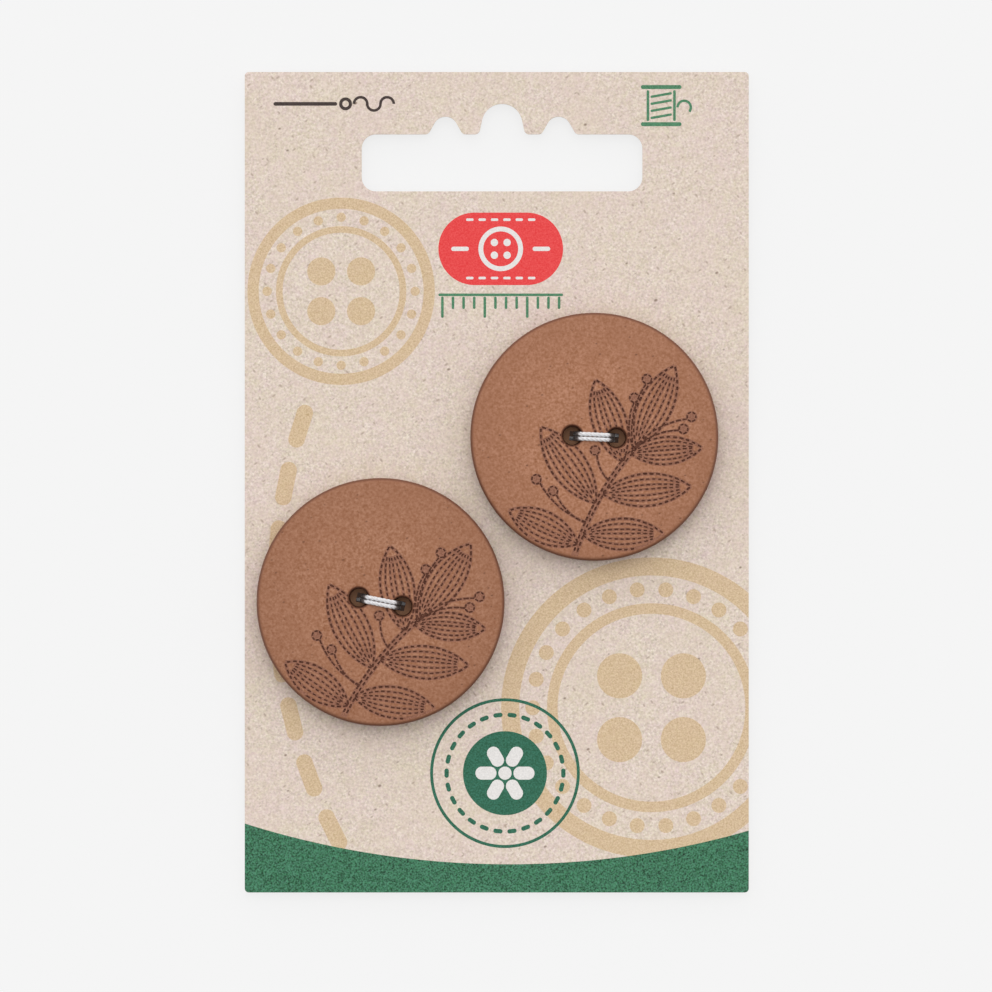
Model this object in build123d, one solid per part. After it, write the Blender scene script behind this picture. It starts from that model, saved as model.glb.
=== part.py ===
"""A retail card with two sew-through buttons, each tied on with its own thread.

The card lies on its back with the printed face up. +X is the card's right, +Y points to the hang
slot and +Z leaves the printed face. The origin is under the middle of the card, level with the
underside of the knots that the card rests on. All sizes are in millimetres.
"""
from build123d import *
import math
import os

# Board of the card
CARD_WIDTH = 57.0
CARD_HEIGHT = 92.8
CARD_THICKNESS = 0.6
CARD_CORNER_RADIUS = 0.45

# Hang slot, die-cut slightly right of the middle, with three lobes for a display hook
SLOT_LENGTH = 31.75
SLOT_HEIGHT = 6.45
SLOT_CORNER_RADIUS = 1.6
SLOT_TOP_MARGIN = 7.05
SLOT_OFFSET = 0.6
CENTRE_LOBE_RADIUS = 2.3
CENTRE_LOBE_RISE = 3.45
CENTRE_LOBE_FOOT = 5.2
SIDE_LOBE_RADIUS = 1.4
SIDE_LOBE_RISE = 2.0
SIDE_LOBE_FOOT = 3.9
SIDE_LOBE_SPACING = 12.8
LOBE_EDGE_RADIUS = 0.6

# Buttons: a pair on a slanted line, and how far the holes of each are turned, in degrees
PAIR_MIDDLE_X = -1.05
PAIR_MIDDLE_Y = -4.2
PAIR_LINE_ANGLE = 37.7
PAIR_GAP = 2.5
UPPER_HOLES_ANGLE = -2.9
LOWER_HOLES_ANGLE = -11.4

# Button body: a flat disc with a chamfered rim and two thread holes
BUTTON_DIAMETER = 28.0
BUTTON_THICKNESS = 3.0
BUTTON_RIM_CHAMFER = 0.3
HOLE_DIAMETER = 2.3
HOLE_SPACING = 5.0
HOLE_CHAMFER = 0.3

# Engraved twig on the button's face
GROOVE_WIDTH = 0.26
GROOVE_DEPTH = 0.14
GROOVE_EDGE_MARGIN = 0.15

# Stem of the twig, an arc through three points, as shares of the button's radius
STEM_SHARES = ((-0.12, -0.99), (0.06, -0.50), (0.34, -0.06))
# Leaves: share of the way along the stem, turn from it in degrees, length and width shares
LEAF_SHARES = (
    (0.12, 84, 0.62, 0.25),
    (0.20, -68, 0.66, 0.25),
    (0.46, 64, 0.76, 0.28),
    (0.55, -55, 0.72, 0.26),
    (0.84, 56, 0.70, 0.27),
    (0.93, -46, 0.58, 0.22),
    (1.00, 16, 0.72, 0.27),
)
LEAF_MIDRIB_SHARE = 0.88

# Tie thread: two turns side by side through the button and the card, knotted behind the card
STRAND_DIAMETER = 0.5
STRAND_SIDES = 6
STRAND_GAP = 0.02
SEAT_CLEARANCE = 0.03
KNOT_LENGTH = 1.9
KNOT_SIDES = 8
KNOT_TAPER_ANGLE = 12.0
TAIL_LENGTH = 3.5

CUT_OVERRUN = 1.0

# Heights that the pieces share
STRAND_RADIUS = STRAND_DIAMETER / 2
STRAND_PITCH = STRAND_DIAMETER + STRAND_GAP
KNOT_DIAMETER = STRAND_PITCH + STRAND_DIAMETER
CARD_BACK_Z = KNOT_DIAMETER + SEAT_CLEARANCE
CARD_FRONT_Z = CARD_BACK_Z + CARD_THICKNESS

# Thread positions in a button's own frame: x along its holes, z from its back face
HOLE_RADIUS = HOLE_DIAMETER / 2
STRAND_SIDE = STRAND_PITCH / 2
RUN_X = HOLE_SPACING / 2
BRIDGE_TURN_RADIUS = HOLE_CHAMFER + SEAT_CLEARANCE + STRAND_RADIUS
BRIDGE_X = HOLE_SPACING / 2 - HOLE_RADIUS - HOLE_CHAMFER + BRIDGE_TURN_RADIUS
BRIDGE_Z = BUTTON_THICKNESS + SEAT_CLEARANCE + STRAND_RADIUS
CROSSING_Z = -CARD_THICKNESS - SEAT_CLEARANCE - STRAND_RADIUS
TAIL_Z = CROSSING_Z - STRAND_PITCH
KNOT_Z = (CROSSING_Z + TAIL_Z) / 2
BACK_TURN_RADIUS = STRAND_DIAMETER


def button_place(side, holes_angle):
    """The place of a button's own frame on the card, at one end of the pair's line."""
    reach = side * (BUTTON_DIAMETER + PAIR_GAP) / 2
    x = PAIR_MIDDLE_X + reach * math.cos(math.radians(PAIR_LINE_ANGLE))
    y = PAIR_MIDDLE_Y + reach * math.sin(math.radians(PAIR_LINE_ANGLE))
    return Pos(x, y, CARD_FRONT_Z) * Rot(0, 0, holes_angle)


UPPER_PLACE = button_place(1, UPPER_HOLES_ANGLE)
LOWER_PLACE = button_place(-1, LOWER_HOLES_ANGLE)


def slot_lobe(x, radius, rise, foot):
    """One rounded lobe that widens from its crown to its foot on the slot's upper edge."""
    crown = Edge.make_circle(radius).moved(Pos(x, rise - radius))
    foot_line = Edge.make_line((x - foot / 2, 0), (x + foot / 2, 0))
    return make_hull([crown, foot_line])


def hang_slot():
    """Outline of the hang slot, with its upper edge on the X axis."""
    body = Pos(0, -SLOT_HEIGHT / 2) * RectangleRounded(SLOT_LENGTH, SLOT_HEIGHT, SLOT_CORNER_RADIUS)
    lobes = [slot_lobe(0, CENTRE_LOBE_RADIUS, CENTRE_LOBE_RISE, CENTRE_LOBE_FOOT)]
    for side in (-1, 1):
        x = side * SIDE_LOBE_SPACING / 2
        lobes.append(slot_lobe(x, SIDE_LOBE_RADIUS, SIDE_LOBE_RISE, SIDE_LOBE_FOOT))
    outline = body + lobes
    upper_edge = max(outline.vertices().group_by(Axis.Y), key=len)
    lobe_feet = upper_edge.sort_by(Axis.X)[1:-1]
    return fillet(lobe_feet, LOBE_EDGE_RADIUS)


def thread_slit():
    """A slit in the board that lets both slanted strands through, with room for their turn behind."""
    leg_share = BRIDGE_Z / (BRIDGE_Z - TAIL_Z)
    leg_x = BRIDGE_X + (RUN_X - BRIDGE_X) * leg_share
    inner_x = leg_x - STRAND_DIAMETER
    outer_x = RUN_X + STRAND_RADIUS + SEAT_CLEARANCE
    width = 2 * (STRAND_SIDE + STRAND_RADIUS + SEAT_CLEARANCE)
    blade = Box(outer_x - inner_x, width, CARD_THICKNESS + 2 * CUT_OVERRUN)
    return Pos((inner_x + outer_x) / 2, 0, -CARD_THICKNESS / 2) * blade


def card():
    """The board with its hang slot and the slits for the threads."""
    outline = RectangleRounded(CARD_WIDTH, CARD_HEIGHT, CARD_CORNER_RADIUS)
    slot_y = CARD_HEIGHT / 2 - SLOT_TOP_MARGIN
    outline -= Pos(SLOT_OFFSET, slot_y) * hang_slot()
    board = extrude(Pos(0, 0, CARD_BACK_Z) * outline, CARD_THICKNESS)
    for place in (UPPER_PLACE, LOWER_PLACE):
        for half_turn in (0, 180):
            board -= place * Rot(0, 0, half_turn) * thread_slit()
    return board


def button_blank():
    """The turned disc, before its holes and engraving."""
    radius = BUTTON_DIAMETER / 2
    section = Polyline(
        (0, 0, 0),
        (radius, 0, 0),
        (radius, 0, BUTTON_THICKNESS - BUTTON_RIM_CHAMFER),
        (radius - BUTTON_RIM_CHAMFER, 0, BUTTON_THICKNESS),
        (0, 0, BUTTON_THICKNESS),
        close=True,
    )
    return revolve(make_face(section.edges()), Axis.Z)


def hole_cutter():
    """One thread hole with its chamfered upper mouth."""
    mouth = HOLE_RADIUS + HOLE_CHAMFER + CUT_OVERRUN
    section = Polyline(
        (0, 0, -CUT_OVERRUN),
        (HOLE_RADIUS, 0, -CUT_OVERRUN),
        (HOLE_RADIUS, 0, BUTTON_THICKNESS - HOLE_CHAMFER),
        (mouth, 0, BUTTON_THICKNESS + CUT_OVERRUN),
        (0, 0, BUTTON_THICKNESS + CUT_OVERRUN),
        close=True,
    )
    return revolve(make_face(section.edges()), Axis.Z)


def twig_strokes():
    """Centre lines of the engraved twig, on the plane of the button's face."""
    radius = BUTTON_DIAMETER / 2
    stem = ThreePointArc(*[Vector(x, y) * radius for x, y in STEM_SHARES])
    strokes = [stem]
    for along_share, turn, length_share, width_share in LEAF_SHARES:
        base = stem @ along_share
        reach = (stem % along_share).rotate(Axis.Z, turn) * length_share * radius
        belly = reach.normalized().rotate(Axis.Z, 90) * width_share * radius / 2
        for side in (-1, 1):
            strokes.append(ThreePointArc(base, base + reach / 2 + belly * side, base + reach))
        strokes.append(Line(base, base + reach * LEAF_MIDRIB_SHARE))
    return strokes


def engraving():
    """The grooves of the twig, cut into the face and ending short of the chamfered rim."""
    grooves = [trace(stroke, GROOVE_WIDTH) for stroke in twig_strokes()]
    face_radius = BUTTON_DIAMETER / 2 - BUTTON_RIM_CHAMFER - GROOVE_EDGE_MARGIN
    twig = Sketch() + grooves
    twig = twig & Circle(face_radius)
    floor_z = BUTTON_THICKNESS - GROOVE_DEPTH
    return extrude(Pos(0, 0, floor_z) * twig, GROOVE_DEPTH + CUT_OVERRUN)


def button():
    """A two-hole button in its own frame, with its back on the XY plane."""
    body = button_blank() - engraving()
    for side in (-1, 1):
        body -= Pos(side * HOLE_SPACING / 2, 0, 0) * hole_cutter()
    return body


def thread_route():
    """Corners of the thread's route and the radius that rounds each one between its ends."""
    end_x = KNOT_LENGTH / 2 + TAIL_LENGTH
    corners = [
        (end_x, STRAND_SIDE, TAIL_Z),
        (-RUN_X, STRAND_SIDE, TAIL_Z),
        (-BRIDGE_X, STRAND_SIDE, BRIDGE_Z),
        (BRIDGE_X, STRAND_SIDE, BRIDGE_Z),
        (RUN_X, STRAND_SIDE, CROSSING_Z),
        (-RUN_X, -STRAND_SIDE, CROSSING_Z),
        (-BRIDGE_X, -STRAND_SIDE, BRIDGE_Z),
        (BRIDGE_X, -STRAND_SIDE, BRIDGE_Z),
        (RUN_X, -STRAND_SIDE, TAIL_Z),
        (-end_x, -STRAND_SIDE, TAIL_Z),
    ]
    turn_radii = [BACK_TURN_RADIUS, BRIDGE_TURN_RADIUS, BRIDGE_TURN_RADIUS, BACK_TURN_RADIUS]
    return corners, turn_radii + turn_radii


def knot():
    """The knot as a tight barrel around the crossing run and the two ends."""
    half_side_turn = 180 / KNOT_SIDES
    middle = RegularPolygon(KNOT_DIAMETER / 2, KNOT_SIDES, major_radius=False, rotation=half_side_turn)
    barrel = extrude(middle, KNOT_LENGTH / 2, both=True, taper=KNOT_TAPER_ANGLE)
    return Pos(0, 0, KNOT_Z) * Rot(0, 90, 0) * barrel


def tie_thread():
    """One thread in a button's own frame, from cut end to cut end, with its knot."""
    corners, radii = thread_route()
    route = FilletPolyline(corners, radius=radii)
    section = Plane(origin=route @ 0, z_dir=route % 0) * RegularPolygon(STRAND_RADIUS, STRAND_SIDES)
    return sweep(section, path=route) + knot()


os.makedirs("parts", exist_ok=True)
sewn_button = button()
thread = tie_thread()
export_step(card(), "parts/card.step")
export_step(UPPER_PLACE * sewn_button, "parts/button_upper.step")
export_step(LOWER_PLACE * sewn_button, "parts/button_lower.step")
export_step(UPPER_PLACE * thread, "parts/tie_thread_upper.step")
export_step(LOWER_PLACE * thread, "parts/tie_thread_lower.step")
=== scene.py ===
"""Dresses the card of buttons: a printed kraft card with two engraved buttons tied on with white thread.

The board is the carried-over CAD solid. The print, the engraved buttons and the twisted threads are
built here in metres, in the frame of the part: +X to the card's right, +Y to the hang slot and +Z out
of the printed face.
"""
import logging
import math
import random
from collections.abc import Iterable, Iterator, Sequence
from dataclasses import dataclass, field
from enum import Enum

import bmesh
import bpy
from mathutils import Matrix, Vector


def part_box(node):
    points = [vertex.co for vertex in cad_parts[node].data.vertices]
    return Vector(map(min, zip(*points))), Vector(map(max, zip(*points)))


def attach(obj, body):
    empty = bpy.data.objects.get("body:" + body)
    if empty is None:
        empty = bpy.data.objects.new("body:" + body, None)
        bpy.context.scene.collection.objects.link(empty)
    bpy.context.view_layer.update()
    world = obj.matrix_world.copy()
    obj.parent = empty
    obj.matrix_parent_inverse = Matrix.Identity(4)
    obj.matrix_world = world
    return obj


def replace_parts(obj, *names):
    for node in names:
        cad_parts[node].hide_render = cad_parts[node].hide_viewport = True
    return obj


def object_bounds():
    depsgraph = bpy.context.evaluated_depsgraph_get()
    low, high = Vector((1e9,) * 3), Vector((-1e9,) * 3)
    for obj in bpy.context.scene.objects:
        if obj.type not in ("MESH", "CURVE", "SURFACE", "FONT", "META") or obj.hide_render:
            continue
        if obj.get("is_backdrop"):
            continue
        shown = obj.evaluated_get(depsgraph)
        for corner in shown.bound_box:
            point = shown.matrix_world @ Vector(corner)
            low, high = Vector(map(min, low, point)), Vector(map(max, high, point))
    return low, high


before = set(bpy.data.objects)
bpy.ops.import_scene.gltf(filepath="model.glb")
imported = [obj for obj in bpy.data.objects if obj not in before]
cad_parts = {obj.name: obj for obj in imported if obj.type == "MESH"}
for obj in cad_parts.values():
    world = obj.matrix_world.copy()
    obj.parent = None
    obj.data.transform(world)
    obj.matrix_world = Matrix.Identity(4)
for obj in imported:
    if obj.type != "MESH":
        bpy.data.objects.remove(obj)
CAD_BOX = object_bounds()

Socket = bpy.types.NodeSocket
Shape = bmesh.types.BMesh

MM = 0.001
BODY = "root"
BUTTONS = ("button_upper", "button_lower")
UP = Vector((0, 0, 1))
MERGE_DISTANCE = 0.001 * MM
LOG = logging.getLogger("card_of_buttons")

# Inputs of the colour form of a Mix node, and that form's output and setting
MIX_A, MIX_B = 6, 7
COLOUR_MIX = {"output": 2, "data_type": "RGBA"}

# Octaves of the noise of a grain and of a cloud, and how rough both are
GRAIN_DETAIL = 2.0
CLOUD_DETAIL = 3.0
NOISE_ROUGHNESS = 0.6
# Noise values between which a grain goes from dark to pale, and a cloud from clear to thickest
GRAIN_SPAN = (0.3, 0.7)
CLOUD_SPAN = (0.4, 0.7)
# Share of the cells with no fleck, soft edge of a fleck as shares of its reach, and how it covers
FLECKLESS_SHARE = 0.3
FLECK_EDGE_SHARES = (-0.2, 0.5)
FLECK_COVER = 0.85
# Upright part of the normal between which a wall turns into a level face
WALL_SPAN = (0.75, 0.995)
BUMP_HEIGHT = 0.02 * MM


def linear(hex_colour: str) -> tuple[float, float, float, float]:
    """Turns an sRGB colour into a linear one.

    Args:
        hex_colour: six hex digits.

    Returns:
        Linear red, green and blue, with full alpha.
    """
    channels = [int(hex_colour[i : i + 2], 16) / 255 for i in (0, 2, 4)]
    low = [c / 12.92 for c in channels]
    high = [((c + 0.055) / 1.055) ** 2.4 for c in channels]
    return (*[lo if c <= 0.04045 else hi for c, lo, hi in zip(channels, low, high)], 1.0)


def per_metre(size_mm: float) -> float:
    """Texture scale whose features are about this many millimetres wide."""
    return 1 / (size_mm * MM)


@dataclass(frozen=True)
class Flecks:
    """Small long flecks, at most one in a cell, which has a length and a width.

    Their reach is half the length of the longest one, as a share of the cell, and their turn is in
    degrees from +X.
    """

    tint: str
    cell_mm: tuple[float, float]
    reach: float
    turn: float


@dataclass(frozen=True)
class Recipe:
    """The nodes of one finish, with the patterns that several finishes share."""

    tree: bpy.types.NodeTree

    def add(
        self, kind: str, inputs: dict | None = None, output: str | int = 0, **settings: object
    ) -> Socket | None:
        """Adds one shader node.

        Args:
            kind: Blender's type name of the node, without the ShaderNode that it starts with.
            inputs: socket name or index to a constant, or to the output socket that is linked there.
            output: name or index of the output that is asked for.
            settings: properties of the node.

        Returns:
            That output, or nothing for a node without outputs.
        """
        node = self.tree.nodes.new(f"ShaderNode{kind}")
        for name, value in settings.items():
            setattr(node, name, value)
        for key, value in (inputs or {}).items():
            if isinstance(value, Socket):
                self.tree.links.new(value, node.inputs[key])
            else:
                node.inputs[key].default_value = value
        return node.outputs[output] if node.outputs else None

    def grain(self, size_mm: float, dark: str, light: str) -> tuple[Socket, Socket]:
        """Makes a fine grain between two tones.

        Args:
            size_mm: width of a grain.
            dark: hex colour of the darkest grains.
            light: hex colour of the palest grains.

        Returns:
            The colour socket and the height socket of the grain.
        """
        place = self.add("TexCoord", output="Object")
        noise = self.add(
            "TexNoise",
            {
                "Vector": place,
                "Scale": per_metre(size_mm),
                "Detail": GRAIN_DETAIL,
                "Roughness": NOISE_ROUGHNESS,
            },
        )
        darkest, palest = GRAIN_SPAN
        tone = self.add("MapRange", {"Value": noise, "From Min": darkest, "From Max": palest})
        colour = self.add("Mix", {0: tone, MIX_A: linear(dark), MIX_B: linear(light)}, **COLOUR_MIX)
        return colour, noise

    def clouds(
        self, colour: Socket, size_mm: float, tint: str, share: float, shift_mm: float = 0.0
    ) -> Socket:
        """Lays slow clouds of another tint over a colour.

        Args:
            colour: what lies under the clouds.
            size_mm: width of a cloud.
            tint: hex colour of the clouds.
            share: how far the tint covers at most.
            shift_mm: how far the clouds are moved, so that no two layers match.

        Returns:
            The clouded colour.
        """
        place = self.add("TexCoord", output="Object")
        moved = self.add("Mapping", {"Vector": place, "Location": (shift_mm * MM, 0, 0)})
        noise = self.add(
            "TexNoise",
            {
                "Vector": moved,
                "Scale": per_metre(size_mm),
                "Detail": CLOUD_DETAIL,
                "Roughness": NOISE_ROUGHNESS,
            },
        )
        clear, thickest = CLOUD_SPAN
        cover = self.add(
            "MapRange", {"Value": noise, "From Min": clear, "From Max": thickest, "To Max": share}
        )
        return self.add("Mix", {0: cover, MIX_A: colour, MIX_B: linear(tint)}, **COLOUR_MIX)

    def scatter(self, colour: Socket, flecks: Flecks) -> Socket:
        """Scatters flecks over a colour.

        Args:
            colour: what lies under the flecks.
            flecks: their tint and sizes.

        Returns:
            The flecked colour.
        """
        length, width = (size * MM for size in flecks.cell_mm)
        place = self.add("TexCoord", output="Object")
        turned = self.add(
            "Mapping",
            {
                "Vector": place,
                "Rotation": (0, 0, math.radians(flecks.turn)),
                "Scale": (length, width, 1),
            },
            vector_type="TEXTURE",
        )
        distance = self.add(
            "TexVoronoi", {"Vector": turned, "Scale": 1.0}, "Distance", voronoi_dimensions="2D"
        )
        draw = self.add("SeparateColor", {0: distance.node.outputs["Color"]})
        size = self.add(
            "MapRange", {"Value": draw, "From Min": FLECKLESS_SHARE, "To Max": flecks.reach}
        )
        inside = self.add("Math", {0: size, 1: distance}, operation="SUBTRACT")
        faint, full = (share * flecks.reach for share in FLECK_EDGE_SHARES)
        cover = self.add(
            "MapRange", {"Value": inside, "From Min": faint, "From Max": full, "To Max": FLECK_COVER}
        )
        return self.add("Mix", {0: cover, MIX_A: colour, MIX_B: linear(flecks.tint)}, **COLOUR_MIX)

    def on_edges(self, colour: Socket, edge: str) -> Socket:
        """Gives the upright walls another colour: the board's own core, or painted shade on a button.

        Args:
            colour: what the level faces have.
            edge: hex colour of the walls.

        Returns:
            The colour of faces and walls.
        """
        normal = self.add("TexCoord", output="Normal")
        upright = self.add("SeparateXYZ", {0: normal}, "Z")
        level = self.add("Math", {0: upright}, operation="ABSOLUTE")
        steepest, flattest = WALL_SPAN
        face = self.add("MapRange", {"Value": level, "From Min": steepest, "From Max": flattest})
        return self.add("Mix", {0: face, MIX_A: linear(edge), MIX_B: colour}, **COLOUR_MIX)

    def towards_rim(self, node: str, start: float, most: float, rise: float = 0.0) -> Socket:
        """Tells how near a point lies to the rim of a round CAD node.

        Args:
            node: name of the CAD node.
            start: where the value starts to grow, as a share of the radius.
            most: the value at the rim.
            rise: how much a height over the node's back counts beside a way along it.

        Returns:
            A value that grows from 0 to the most.
        """
        low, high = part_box(node)
        middle = (low + high) / 2
        radius = (high.x - low.x) / 2
        place = self.add("TexCoord", output="Object")
        away = self.add(
            "Mapping",
            {"Vector": place, "Location": (-middle.x, -middle.y, -rise * low.z), "Scale": (1, 1, rise)},
        )
        distance = self.add("VectorMath", {0: away}, "Value", operation="LENGTH")
        return self.add(
            "MapRange",
            {"Value": distance, "From Min": start * radius, "From Max": radius, "To Max": most},
        )

    def matte(
        self, colour: Socket, height: Socket, roughness: float, specular: float, tooth: float = 0.3
    ) -> Socket:
        """Closes a dull finish.

        Args:
            colour: the surface colour.
            height: height of its grain.
            roughness: of the shader.
            specular: its specular level.
            tooth: strength of the grain's bump.

        Returns:
            The shader socket.
        """
        bump = self.add("Bump", {"Height": height, "Strength": tooth, "Distance": BUMP_HEIGHT})
        return self.add(
            "BsdfPrincipled",
            {
                "Base Color": colour,
                "Roughness": roughness,
                "Specular IOR Level": specular,
                "Normal": bump,
            },
        )


class Finish:
    """A surface finish, which makes its node material once."""

    name: str

    def shader(self, recipe: Recipe) -> Socket:
        """Builds the finish's nodes and returns the closing shader socket."""
        raise NotImplementedError

    def material(self) -> bpy.types.Material:
        """Makes the finish's material, or finds it where it is made already.

        Returns:
            The material.
        """
        known = bpy.data.materials.get(self.name)
        if known:
            return known
        material = bpy.data.materials.new(self.name)
        material.use_nodes = True
        material.node_tree.nodes.clear()
        recipe = Recipe(material.node_tree)
        recipe.add("OutputMaterial", {"Surface": self.shader(recipe)})
        return material


@dataclass(frozen=True)
class KraftBoard(Finish):
    """Recycled kraft board, pressed from mixed pulp and left uncoated.

    That gives a matte, pale brown face with a fine sandy grain, grains and slow clouds of warmer and
    cooler pulp, and stray flecks of bark and fibre. The cut edges show a paler, greyer core, and under
    each button the face carries painted brown shade, which shows only down the button's holes.
    """

    name: str = "recycled_kraft_board"
    pulp_dark: str = "b9aa9b"
    pulp_light: str = "f9ede1"
    pulp_warm: str = "ddd2b0"
    pulp_cool: str = "e4c9cb"
    core: str = "d9d5cf"
    # Painted brown shade on the face under each button, seen only down the holes
    hole_floor_shade: str = "a97f62"
    hole_floor_shade_share: float = 0.9
    # The real grain is finer, and is drawn as coarse as it needs to show
    grain_mm: float = 0.26
    # Widths of the warmer and cooler clouds in millimetres, and how far they cover
    clouds: tuple = ((0.26, 0.5), (1.2, 0.25), (6.0, 0.2))
    warm_shift_mm: float = 23.0
    cool_shift_mm: float = 47.0
    # Two lies of stray fibre, and bark
    flecks: tuple[Flecks, ...] = (
        Flecks("b5a293", (3.0, 1.4), 0.09, 35),
        Flecks("b5a293", (3.4, 1.7), 0.08, -50),
        Flecks("8a7668", (8.0, 5.6), 0.03, 20),
    )
    roughness: float = 0.92
    specular: float = 0.2

    def pulp(self, recipe: Recipe) -> tuple[Socket, Socket]:
        """Builds the look of the pulp, which shows through thin ink too.

        Args:
            recipe: the nodes of the finish.

        Returns:
            The colour socket and the height socket of the tooth.
        """
        colour, tooth = recipe.grain(self.grain_mm, self.pulp_dark, self.pulp_light)
        for size_mm, share in self.clouds:
            colour = recipe.clouds(colour, size_mm, self.pulp_warm, share, self.warm_shift_mm)
            colour = recipe.clouds(colour, size_mm, self.pulp_cool, share, self.cool_shift_mm)
        for flecks in self.flecks:
            colour = recipe.scatter(colour, flecks)
        return colour, tooth

    def shader(self, recipe: Recipe) -> Socket:
        """Builds the board's nodes.

        Args:
            recipe: the nodes of the finish.

        Returns:
            The closing shader socket.
        """
        colour, tooth = self.pulp(recipe)
        for node in BUTTONS:
            # Painted shade under each button; heights count a hundredfold, so it stays off the back of
            # the board
            outside_hole_floor_shade = recipe.towards_rim(node, self.hole_floor_shade_share, most=1.0, rise=100.0)
            colour = recipe.add(
                "Mix", {0: outside_hole_floor_shade, MIX_A: linear(self.hole_floor_shade), MIX_B: colour}, **COLOUR_MIX
            )
        colour = recipe.on_edges(colour, self.core)
        return recipe.matte(colour, tooth, self.roughness, self.specular)


@dataclass(frozen=True)
class InkOnKraft(Finish):
    """Water-based ink, printed on uncoated board that drinks some of it in.

    That gives a dull colour, broken up into darker and paler grains by the board's tooth, with grains
    of a stray tint, and the pulp shows through a thin ink.
    """

    name: str
    dark: str
    light: str
    stray: str
    cover: float
    # Drawn as coarse as it needs to show
    grain_mm: float = 0.18
    stray_share: float = 0.4
    stray_shift_mm: float = 31.0
    roughness: float = 0.8
    specular: float = 0.1
    board: KraftBoard = KraftBoard()

    def shader(self, recipe: Recipe) -> Socket:
        """Builds the ink's nodes.

        Args:
            recipe: the nodes of the finish.

        Returns:
            The closing shader socket.
        """
        pulp, tooth = self.board.pulp(recipe)
        ink, _ = recipe.grain(self.grain_mm, self.dark, self.light)
        ink = recipe.clouds(ink, self.grain_mm, self.stray, self.stray_share, self.stray_shift_mm)
        colour = recipe.add("Mix", {0: self.cover, MIX_A: pulp, MIX_B: ink}, **COLOUR_MIX)
        return recipe.matte(colour, tooth, self.roughness, self.specular)


class Ink(Enum):
    """The inks of the card."""

    OCHRE = InkOnKraft("ochre_ink_on_kraft", "b9986a", "e6cda4", "d8b78f", 0.76)
    FOREST = InkOnKraft("forest_green_flood_ink", "001a0e", "569678", "2c8850", 0.98, 0.2)
    GREEN = InkOnKraft("green_badge_ink", "084f36", "357b66", "306c50", 0.97)
    LEAF = InkOnKraft("pale_green_line_ink", "386d4f", "5c9674", "4a8a60", 0.97)
    RED = InkOnKraft("red_label_ink", "e23136", "f05758", "ea4c48", 0.98)
    GREY = InkOnKraft("dark_grey_line_ink", "2a2221", "463b39", "3a3130", 0.96)
    WHITE = InkOnKraft("opaque_white_ink", "dcdad8", "f2efed", "e9e5df", 0.97)


@dataclass(frozen=True)
class FibreComposite(Finish):
    """Plant-fibre composite, moulded and tumbled to a matte skin.

    That gives a warm brown, faintly clouded surface with a soft grain, tiny dark husks, a face that
    darkens a little towards its rim, walls darkened with painted shade and a soft, dull highlight.
    """

    name: str
    node: str
    body_dark: str
    body_light: str
    cloud: str = "9e6849"
    # Darker towards the rim of the face
    rim_tone: str = "8a5a40"
    # Painted shade on the upright walls: the rounded rim and the holes
    painted_wall_shade: str = "754a36"
    # Drawn as coarse as it needs to show
    grain_mm: float = 0.28
    # Widths of the clouds in millimetres, and how far they cover
    clouds: tuple = ((1.5, 0.2), (4.5, 0.35))
    husks: Flecks = Flecks("704630", (1.9, 1.2), 0.09, 15)
    rim_tone_start: float = 0.5
    rim_tone_share: float = 0.34
    roughness: float = 0.62
    specular: float = 0.3
    tooth: float = 0.25

    def shader(self, recipe: Recipe) -> Socket:
        """Builds the composite's nodes.

        Args:
            recipe: the nodes of the finish.

        Returns:
            The closing shader socket.
        """
        colour, height = recipe.grain(self.grain_mm, self.body_dark, self.body_light)
        for size_mm, share in self.clouds:
            colour = recipe.clouds(colour, size_mm, self.cloud, share)
        rim = recipe.towards_rim(self.node, self.rim_tone_start, self.rim_tone_share)
        colour = recipe.add("Mix", {0: rim, MIX_A: colour, MIX_B: linear(self.rim_tone)}, **COLOUR_MIX)
        # Husks, then painted shade on the upright walls
        colour = recipe.on_edges(recipe.scatter(colour, self.husks), self.painted_wall_shade)
        return recipe.matte(colour, height, self.roughness, self.specular, self.tooth)


class Moulding(Enum):
    """The composites of the two buttons, from mixes that differ a little."""

    UPPER = FibreComposite("moulded_plant_fibre_composite", "button_upper", "945e3b", "bd886c")
    LOWER = FibreComposite("darker_plant_fibre_composite", "button_lower", "8d5837", "b68468")


@dataclass(frozen=True)
class LaserScorch(Finish):
    """Composite that a laser has burnt: a faint haze along its path, and charred pits.

    That gives a dull plum brown that breaks up into darker and paler crumbs.
    """

    name: str
    char: str
    crumb: str
    # The real crumbs are finer, and are drawn as coarse as they need to show
    crumb_mm: float = 0.13
    roughness: float = 0.85
    specular: float = 0.2

    def shader(self, recipe: Recipe) -> Socket:
        """Builds the scorch's nodes and returns the closing shader socket."""
        colour, height = recipe.grain(self.crumb_mm, self.char, self.crumb)
        return recipe.matte(colour, height, self.roughness, self.specular)


class Scorch(Enum):
    """How deep the laser has burnt."""

    PIT = LaserScorch("laser_charred_composite", "482820", "774d3c")
    HAZE = LaserScorch("laser_hazed_composite", "7a4f3e", "a67660")

    @property
    def slot(self) -> int:
        """Its material slot on an engraved button, after the composite's own."""
        return list(Scorch).index(self) + 1


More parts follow.
